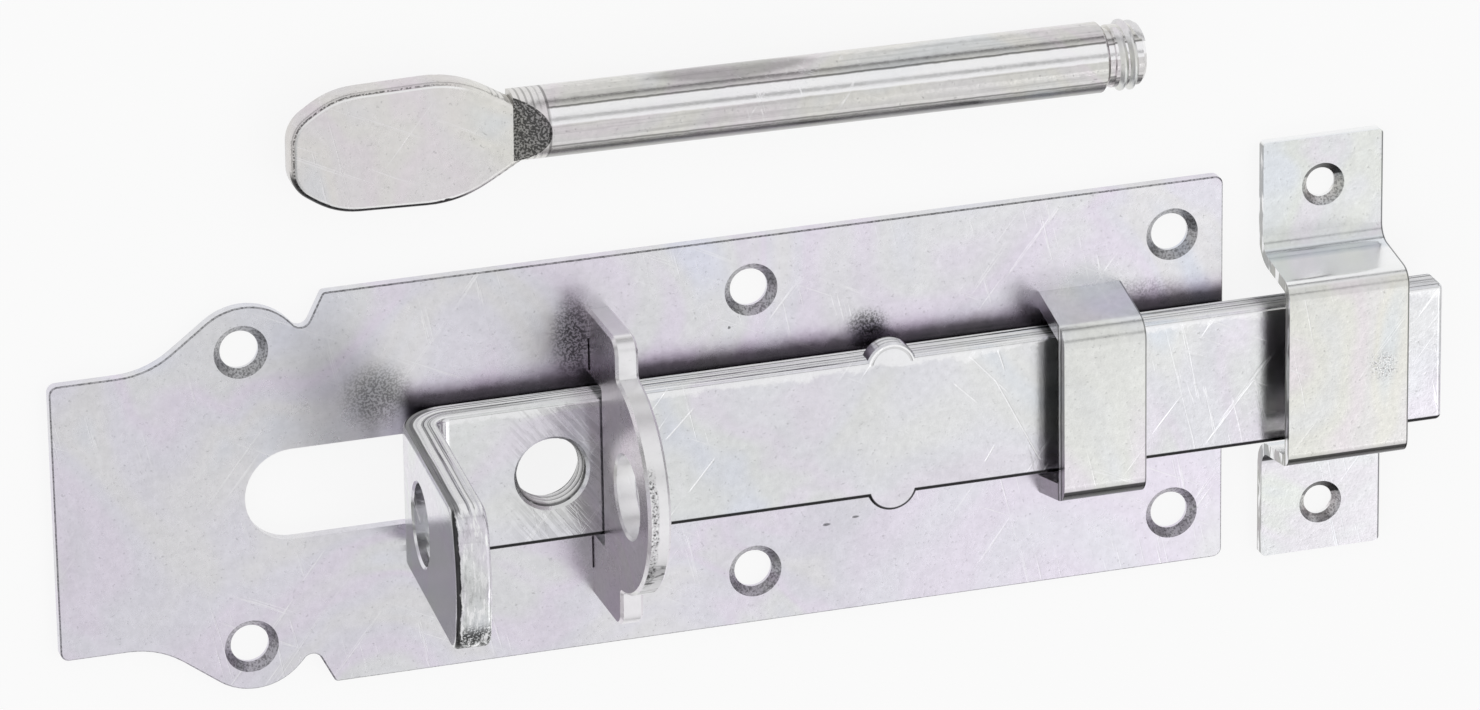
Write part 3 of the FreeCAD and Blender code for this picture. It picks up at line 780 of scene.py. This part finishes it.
def round_the_hole(look):
    """Brushed marks round the handle's hole, and painted shade on the wall inside it."""
    nodes = look.nodes
    brushed = nodes.step(look.stretched(BRUSHED_SCALE, BRUSHED_TURN), *BRUSHED_LIMITS)
    brushed = nodes.both(bar_top(look), nodes.band(look.x, *BRUSHED_X), brushed)
    look.darken(brushed, BRUSHED_SHADE)
    look.raise_by(brushed, BRUSHED_DEPTH)
    wall = nodes.step(past_hole_wall(look), *WALL_START)
    look.darken(nodes.both(wall, nodes.step(look.facing[2], *WALL_FACING)), WALL_SHADE)


def thread_roots(look):
    """Painted shade on the roots between the turns in the bolt's hole."""
    root = look.nodes.step(past_hole_wall(look), -ROOT_SHARE * HOLE_RIDGE, 0.0)
    look.darken(root, ROOT_SHADE)


# Sheared end face of the moving lug
END_FACING = (0.15, 0.4)
END_Z = (36.0, 42.0)

# Torn near corner of that face, and fine streaks over it
CORNER_Y = (-6.0, -9.0)
CORNER_SHARE = 0.7
CORNER_SHADE = 0.12
CORNER_ROUGH = 0.1
STREAK_SCALE = (1400.0, 320.0, 320.0)
STREAK_DARK = (0.46, 0.34)
STREAK_BRIGHT = (0.52, 0.62)
STREAK_SHADE = 0.8

# Dark burr along its outer edge, by depth in the bar
BURR_WANDER = 1.2
BURR_DEPTH = (7.65, 7.85)
BURR_SHADE = 0.08


def sheared_end(look):
    """Torn corner, fine streaks and a dark burr on the end face of the moving lug."""
    nodes = look.nodes
    end = nodes.both(nodes.step(look.facing[2], *END_FACING), nodes.step(look.z, *END_Z))
    corner = nodes.both(end, nodes.step(look.y, *CORNER_Y))
    look.darken(look.speckled(corner, CORNER_SHARE), CORNER_SHADE)
    look.roughen(corner, CORNER_ROUGH)
    streaks = look.stretched(STREAK_SCALE, detail=3.0, rough=0.6)
    look.darken(nodes.both(end, nodes.step(streaks, *STREAK_DARK)), STREAK_SHADE)
    look.brighten(nodes.both(end, nodes.step(streaks, *STREAK_BRIGHT)))
    wandering = nodes.shaken(depth_in_bar(look), look.fine, BURR_WANDER)
    look.darken(nodes.both(end, nodes.step(wandering, *BURR_DEPTH)), BURR_SHADE)


# Painted shade on the right ends of the strap and the keeper, from this far inside them
END_SHADE_START = (-0.3, -0.2)
STRAP_END_SHADE = 0.4
KEEPER_END_SHADE = 0.3

# Cut edge of the strap with painted shade, and painted dark and bright lines on it by height from the
# strap's top, with their softness
CUT_SHADE = (0.86, 0.83, 0.86)
CUT_WANDER = 0.8
CUT_DARK_LINE = (-1.9, -1.5, 0.3)
CUT_DARK_LINE_SHADE = 0.25
CUT_LOW_LINE = (-3.3, -2.9, 0.2)
CUT_LOW_SHADE = 0.3
CUT_BRIGHT_LINE = (-2.6, -2.3, 0.15)


def right_end(look, x, shade):
    """Painted shade on the end face of the strap or the keeper, at x."""
    look.darken(look.nodes.step(look.x, *[x + start for start in END_SHADE_START]), shade)


def strap_edges(look):
    """Painted shade on the strap's right end and cut edge, with painted dark lines and a painted
    highlight line along the cut edge.
    """
    nodes = look.nodes
    right_end(look, STRAP_RIGHT, STRAP_END_SHADE)
    cut = face_mask(look, 0, -1.0)
    look.darken(cut, CUT_SHADE)
    drop = nodes.shaken(nodes.math("SUBTRACT", look.z, STRAP_TOP), look.fine, CUT_WANDER)
    look.darken(nodes.both(cut, nodes.band(drop, *CUT_DARK_LINE)), CUT_DARK_LINE_SHADE)
    look.darken(nodes.both(cut, nodes.band(drop, *CUT_LOW_LINE)), CUT_LOW_SHADE)
    look.brighten(nodes.both(cut, nodes.band(drop, *CUT_BRIGHT_LINE)))


# Pitted rub on the keeper's crown: place, shade, and the shares of its white and dark grains
RUB_CENTRE = (71.0, 1.9, KEEPER_TOP)
RUB_REACH = (3.4, 3.6, 3.0)
RUB_SOFT = 0.6
RUB_SHADE = 0.86
RUB_WHITE_SHARE = 0.5
RUB_DARK_SHARE = 0.2
RUB_DARK_SHADE = 0.4

# Keeper: painted shade on its crown, a painted highlight on its leg, painted shade in its folds, and its
# darker torn cut edge
CROWN_Z = (11.0, 13.0)
CROWN_SHADE = 0.86
LEG_FACING = (0.6, 0.8)
LEG_SHINE = 0.8
LEG_WHITE = (0.98, 0.99, 1.0)
FOLD_Z = (2.4, 5.0, 1.5)
FOLD_SHADE = (0.84, 0.87, 0.90)
KEEPER_CUT_SHADE = 0.5
KEEPER_CUT_SCALE = (900.0, 180.0, 900.0)
KEEPER_CUT_LIMITS = (0.5, 0.6)

# Painted shade on the walls of the keeper's countersinks, which lie below this height
KEEPER_BEVEL = (0.60, 0.78, 0.05)
KEEPER_BEVEL_Z = (2.2, 1.9)
KEEPER_BEVEL_SHADES = (0.72, 0.4, 0.55)


def keeper_rub(look):
    """Pitted white rub on the keeper's crown."""
    rub = look.nodes.spot(look.place_mm, RUB_CENTRE, RUB_REACH, RUB_SOFT)
    look.darken(rub, RUB_SHADE)
    look.brighten(look.speckled(rub, RUB_WHITE_SHARE), grey(1.0))
    look.darken(look.speckled(rub, RUB_DARK_SHARE), RUB_DARK_SHADE)


def keeper_folds(look):
    """Painted shade on the crown, a painted highlight on the leg, a streak of painted shade in the folds,
    painted shade on the right end, and torn cut edges.
    """
    nodes = look.nodes
    look.darken(nodes.step(look.z, *CROWN_Z), CROWN_SHADE)
    look.brighten(nodes.both(nodes.step(look.facing[1], *LEG_FACING), LEG_SHINE), LEG_WHITE)
    look.darken(nodes.band(look.z, *FOLD_Z), FOLD_SHADE)
    right_end(look, KEEPER_RIGHT, KEEPER_END_SHADE)
    cut = face_mask(look, 0, -1.0)
    look.darken(cut, KEEPER_CUT_SHADE)
    torn = nodes.step(look.stretched(KEEPER_CUT_SCALE), *KEEPER_CUT_LIMITS)
    look.brighten(nodes.both(cut, torn))


def keeper_bevels(look):
    """Painted shade with darker grains on the walls of the countersinks in the flanges."""
    nodes = look.nodes
    low = nodes.step(look.z, *KEEPER_BEVEL_Z)
    bevel = nodes.both(nodes.band(look.facing[2], *KEEPER_BEVEL), low)
    look.darken_grainy(bevel, *KEEPER_BEVEL_SHADES)


# Forging rings at the handle's neck
RING_SPACING = 1.1
RING_X = (-83.0, -76.0, 0.8)
RING_FACING = (0.82, 0.7)
RING_HEIGHT = 1.6
RING_DARK = (0.2, 0.9)
RING_SHADE = 0.6

# Dark slope beside them, by how far it faces left and up, and the thin line at its end
SLOPE_LEFT = (-0.35, -0.45)
SLOPE_UP = (0.6, 0.7)
SLOPE_X = (-80.6, -74.0, 1.6)
SLOPE_SHADES = (0.5, 0.6, 0.25)
SLOPE_ROUGH = 0.2
NECK_LINE_X = (-74.7, -74.4, 0.15)
NECK_LINE_SHADE = 0.45


def forged_neck(look):
    """Forging rings at the neck and a dark grainy slope."""
    nodes = look.nodes
    rings = nodes.math("SINE", nodes.math("MULTIPLY", look.x, 2 * math.pi / RING_SPACING))
    neck = nodes.both(nodes.band(look.x, *RING_X), nodes.step(look.facing[2], *RING_FACING))
    look.raise_by(nodes.both(rings, neck), RING_HEIGHT)
    look.darken(nodes.both(neck, nodes.step(rings, *RING_DARK)), RING_SHADE)
    slope = nodes.both(
        nodes.step(look.facing[0], *SLOPE_LEFT),
        nodes.step(look.facing[2], *SLOPE_UP),
        nodes.band(look.x, *SLOPE_X),
    )
    look.darken_grainy(slope, *SLOPE_SHADES)
    look.roughen(slope, SLOPE_ROUGH)
    look.darken(nodes.band(look.x, *NECK_LINE_X), NECK_LINE_SHADE)


# Fine drawn lines on the handle's rod
ROD_START_X = (-75.0, -74.0)
ROD_ROUGH = -0.10
ROD_LINE_SCALE = (25.0, 1100.0, 1100.0)
ROD_LINE_LIMITS = (0.50, 0.36)
ROD_LINE_SHADE = 0.88

# Painted reflection bands along the rod, by how far they face along Y, and the shade of each
ROD_WANDER = 0.05
ROD_BANDS = (
    (0.67, 0.695, 0.35),
    (0.695, 0.98, 0.86),
    (-0.30, 0.19, 0.88),
    (-0.46, -0.42, 0.50),
)
ROD_BAND_SOFT = 0.02

# Painted dark reflection on the rod's low edge, a painted highlight band, and a painted dark reflection
# patch on the rod
ROD_LOW_EDGE = (-0.54, -0.60)
ROD_LOW_SHADE = 0.40
ROD_BRIGHT = (0.24, 0.63, 0.05)
ROD_SHINE = 0.75
DARK_REFLECTION_CENTRE = (-42.0, 67.6, 7.0)
DARK_REFLECTION_REACH = (17.0, 2.4, 3.4)
DARK_REFLECTION_SOFT = 0.35
DARK_REFLECTION_SHADE = 0.62


def rod_bands(look):
    """Fine drawn lines, painted reflection bands, a painted highlight and a painted dark reflection on
    the rod.
    """
    nodes = look.nodes
    rod = nodes.step(look.x, *ROD_START_X)
    look.roughen(rod, ROD_ROUGH)
    lines = look.stretched(ROD_LINE_SCALE, detail=3.0, rough=0.6)
    look.darken(nodes.both(rod, nodes.step(lines, *ROD_LINE_LIMITS)), ROD_LINE_SHADE)
    sideways = nodes.shaken(look.facing[1], look.fine, ROD_WANDER)
    top = nodes.both(rod, upward(look))
    for low, high, shade in ROD_BANDS:
        look.darken(nodes.both(top, nodes.band(sideways, low, high, ROD_BAND_SOFT)), shade)
    look.darken(nodes.both(top, nodes.step(sideways, *ROD_LOW_EDGE)), ROD_LOW_SHADE)
    bright = nodes.band(sideways, *ROD_BRIGHT)
    look.brighten(nodes.both(top, bright, ROD_SHINE), COOL_WHITE)
    look.darken(nodes.spot(look.place_mm, DARK_REFLECTION_CENTRE, DARK_REFLECTION_REACH, DARK_REFLECTION_SOFT), DARK_REFLECTION_SHADE)


# Handle's paddle, and painted highlight and shade lines round its rim by how far they face up, with their
# softness
PADDLE_X = (-86.0, -90.0)
PADDLE_SHADE = (0.93, 0.91, 0.93)
RIM_DARK = (0.1, 0.93, 0.04)
RIM_LOWER = (0.0, -0.2)
RIM_DARK_SHADE = 0.12
RIM_BRIGHT = (0.95, 0.99, 0.015)
RIM_BRIGHT_SHINE = 0.8
RIM_DOTTED = (0.80, 0.90, 0.04)
RIM_DOTTED_X = (-84.0, -100.0)
RIM_DOTTED_SHARE = 0.6
RIM_DOTTED_SHADE = 0.25


def paddle_rim(look):
    """Painted white highlight line, and dark and dotted lines of painted shade, round the paddle's rim.
    """
    nodes = look.nodes
    paddle = nodes.step(look.x, *PADDLE_X)
    look.darken(paddle, PADDLE_SHADE)
    lower = nodes.step(look.facing[1], *RIM_LOWER)
    dark = nodes.both(paddle, nodes.band(look.facing[2], *RIM_DARK), lower)
    look.darken(dark, RIM_DARK_SHADE)
    bright = nodes.both(paddle, nodes.band(look.facing[2], *RIM_BRIGHT))
    look.brighten(nodes.both(bright, RIM_BRIGHT_SHINE), WHITE)
    dotted = nodes.both(
        paddle,
        nodes.band(look.facing[2], *RIM_DOTTED),
        nodes.step(look.x, *RIM_DOTTED_X),
    )
    look.darken(look.speckled(dotted, RIM_DOTTED_SHARE), RIM_DOTTED_SHADE)


def assign(obj, material):
    obj.data.materials.clear()
    obj.data.materials.append(material)


def new_mesh_object(name, builder):
    mesh = bpy.data.meshes.new(name)
    data = bmesh.new()
    builder(data)
    bmesh.ops.recalc_face_normals(data, faces=data.faces)
    data.to_mesh(mesh)
    data.free()
    obj = bpy.data.objects.new(name, mesh)
    bpy.context.scene.collection.objects.link(obj)
    return obj


def thread(name, axis_matrix, ends, root, crest, pitch, fade_turns):
    """Helical ridge of a metric thread that fades in and out at its ends."""
    start, end = ends
    turns = (end - start) / pitch
    total = int(TURN_FACES * turns)

    def section(share):
        """Corners of the ridge's section, as steps along the axis and radii."""
        fade = min(1.0, min(share, 1 - share) * turns / fade_turns)
        tall = root + (crest - root) * fade
        buried = root - (crest - root) * TURN_SET_IN
        ridge = ((-TURN_FOOT, root), (-TURN_CREST, tall), (TURN_CREST, tall), (TURN_FOOT, root))
        return (*ridge, (0.0, buried))

    def build(data):
        previous = None
        for index in range(total + 1):
            share = index / total
            angle = share * turns * 2 * math.pi
            along = start + (end - start) * share
            ring = []
            for offset, radius in section(share):
                across = (radius * math.cos(angle), radius * math.sin(angle))
                corner = Vector((along + offset * pitch, *across)) * MM
                ring.append(data.verts.new(axis_matrix @ corner))
            if previous:
                for first in range(len(ring)):
                    second = (first + 1) % len(ring)
                    data.faces.new((previous[first], previous[second], ring[second], ring[first]))
            else:
                data.faces.new(ring)
            previous = ring
        data.faces.new(list(reversed(previous)))
    return new_mesh_object(name, build)


def handle_thread():
    """Screw thread on the handle's end."""
    place = Matrix.Translation(Vector(HANDLE_NECK) * MM) @ Matrix.Rotation(HANDLE_TURN, 4, "Z")
    first, last = [inset * THREAD_PITCH for inset in TIP_INSETS]
    ends = (TIP_START + first, TIP_END - last)
    radii = (TIP_ROOT_R - SEAT, THREAD_MAJOR_R)
    turns = thread("handle_thread", place, ends, *radii, THREAD_PITCH, TIP_FADE)
    assign(turns, zinc("zinc_thread", base=(0.75, 0.75, 0.75), rough=0.3, tint=0.4, seed=7.0))
    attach(turns, "plate")


def bolt_thread():
    """Screw thread in the bolt's hole."""
    place = Matrix.Translation(Vector((HOLE_X, 0, 0)) * MM) @ Matrix.Rotation(math.radians(-90), 4, "Y")
    ends = (BOLT_BOTTOM + HOLE_INSETS[0], BOLT_TOP - HOLE_INSETS[1])
    radii = (HOLE_R + SEAT, HOLE_R - HOLE_RIDGE)
    turns = thread("bolt_thread", place, ends, *radii, HOLE_PITCH, HOLE_FADE)
    finish = dict(base=(0.78, 0.78, 0.78), rough=0.28, tint=0.4, seed=8.0, marks=[thread_roots])
    assign(turns, zinc("zinc_hole_thread", **finish))
    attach(turns, "bolt")


# Finish of each of the frame's own nodes, with its layers of marks from the first to the last
# On the plate, the first two layers paint shade beside the bolt and in speckled patches
PLATE_MARKS = (painted_bolt_shade, shade_patches_and_nicks, plate_bevels)
LUG_MARKS = (torn_line, rim_ribs)
STRAP_MARKS = (strap_edges, underside)
BOLT_MARKS = (drawn_sides, pressed_nib, bar_edges, long_scratches, round_the_hole, sheared_end)
KEEPER_MARKS = (keeper_rub, keeper_folds, underside, keeper_bevels)
HANDLE_MARKS = (forged_neck, rod_bands, paddle_rim)
FINISHES = {
    "base_plate": dict(base=(0.76, 0.745, 0.86), rough=0.27, tint=0.5, seed=1.0, marks=PLATE_MARKS),
    "fixed_lug": dict(base=(0.77, 0.75, 0.78), rough=0.28, tint=0.4, seed=2.0, pits=1.2, marks=LUG_MARKS),
    "guide_strap": dict(base=(0.76, 0.76, 0.78), rough=0.22, tint=0.5, seed=3.0, marks=STRAP_MARKS),
    "bolt": dict(base=(0.76, 0.77, 0.83), rough=0.18, tint=0.45, seed=4.0, marks=BOLT_MARKS),
    "keeper": dict(base=(0.90, 0.885, 0.86), rough=0.21, tint=0.5, seed=5.0, marks=KEEPER_MARKS),
    "handle": dict(base=(0.77, 0.75, 0.74), rough=0.28, tint=0.4, seed=6.0, pits=1.3, marks=HANDLE_MARKS),
}


def floor():
    """White paper that keeps the shadow, and shows as the white background."""
    def build(data):
        corners = ((-1, -1), (1, -1), (1, 1), (-1, 1))
        places = [(FLOOR_HALF * x, FLOOR_HALF * y, -FLOOR_DROP) for x, y in corners]
        data.faces.new([data.verts.new(place) for place in places])
    obj = new_mesh_object("floor", build)
    material, nodes = new_material("floor")
    path = nodes.add("ShaderNodeLightPath")
    seen = nodes.math("MAXIMUM", path.outputs["Is Camera Ray"], path.outputs["Is Glossy Ray"])
    seen = nodes.math("MAXIMUM", seen, path.outputs["Is Transmission Ray"])
    paper = nodes.add("ShaderNodeBsdfDiffuse")
    paper.inputs["Color"].default_value = opaque(grey(PAPER_GREY))
    glow = nodes.add("ShaderNodeEmission")
    glow.inputs["Color"].default_value = opaque(grey(1.0))
    glow.inputs["Strength"].default_value = 1.0
    blend = nodes.add("ShaderNodeMixShader")
    nodes.put_all(blend.inputs, (nodes.both(seen, FLOOR_GLOW), paper.outputs[0], glow.outputs[0]))
    output = nodes.add("ShaderNodeOutputMaterial")
    nodes.put(output.inputs["Surface"], blend.outputs[0])
    assign(obj, material)


def sky():
    """Pale studio with a dim horizon, and a few soft dark patches that metal picks up."""
    world = bpy.data.worlds.new("studio")
    bpy.context.scene.world = world
    world.use_nodes = True
    nodes = Nodes(world.node_tree)
    direction = nodes.add("ShaderNodeTexCoord").outputs["Generated"]
    across, _, up = nodes.split(direction)
    from_left = nodes.math("MULTIPLY_ADD", across, 0.5, 0.5)
    studio = nodes.ramp(up, STUDIO_UPWARD)
    studio = nodes.mix(1.0, studio, nodes.ramp(from_left, STUDIO_ACROSS), "MULTIPLY")
    for centre, inner, outer, shade in SKY_PATCHES:
        away = nodes.math("ARCCOSINE", nodes.vector("DOT_PRODUCT", direction, centre))
        studio = nodes.mix(nodes.step(away, outer, inner), studio, grey(shade), "MULTIPLY")
    path = nodes.add("ShaderNodeLightPath")
    background = nodes.add("ShaderNodeBackground")
    colour = nodes.mix(path.outputs["Is Camera Ray"], studio, grey(1.0))
    nodes.put(background.inputs["Color"], colour)
    background.inputs["Strength"].default_value = 1.0
    output = nodes.add("ShaderNodeOutputWorld")
    nodes.put(output.inputs["Surface"], background.outputs[0])


def lamp():
    """One weak square lamp aimed at the middle of the plate."""
    data = bpy.data.lights.new("key", "AREA")
    data.shape = "RECTANGLE"
    data.size = LAMP_SIZE
    data.size_y = LAMP_SIZE
    data.energy = LAMP_POWER
    obj = bpy.data.objects.new("key", data)
    obj.location = LAMP_PLACE
    obj.rotation_euler = (-LAMP_PLACE).to_track_quat("-Z", "Y").to_euler()
    bpy.context.scene.collection.objects.link(obj)


def camera():
    data = bpy.data.cameras.new("camera")
    data.sensor_fit = "HORIZONTAL"
    data.sensor_width = SENSOR
    data.lens = CAMERA_LENS
    data.clip_start, data.clip_end = CAMERA_RANGE
    obj = bpy.data.objects.new("camera", data)
    flip = Matrix.Diagonal((1.0, -1.0, -1.0))
    seen = Matrix.Rotation(CAMERA_TURN.length, 3, CAMERA_TURN.normalized()) @ flip
    axes = Matrix((seen[0], -seen[1], -seen[2])).transposed()
    obj.matrix_world = Matrix.Translation(CAMERA_PLACE) @ axes.to_4x4()
    bpy.context.scene.collection.objects.link(obj)
    bpy.context.scene.camera = obj


for node_name, finish in FINISHES.items():
    assign(NODES[node_name], zinc("zinc_" + node_name, **finish))
handle_thread()
bolt_thread()
floor()
sky()
lamp()
camera()
bpy.context.scene.view_settings.view_transform = "Standard"
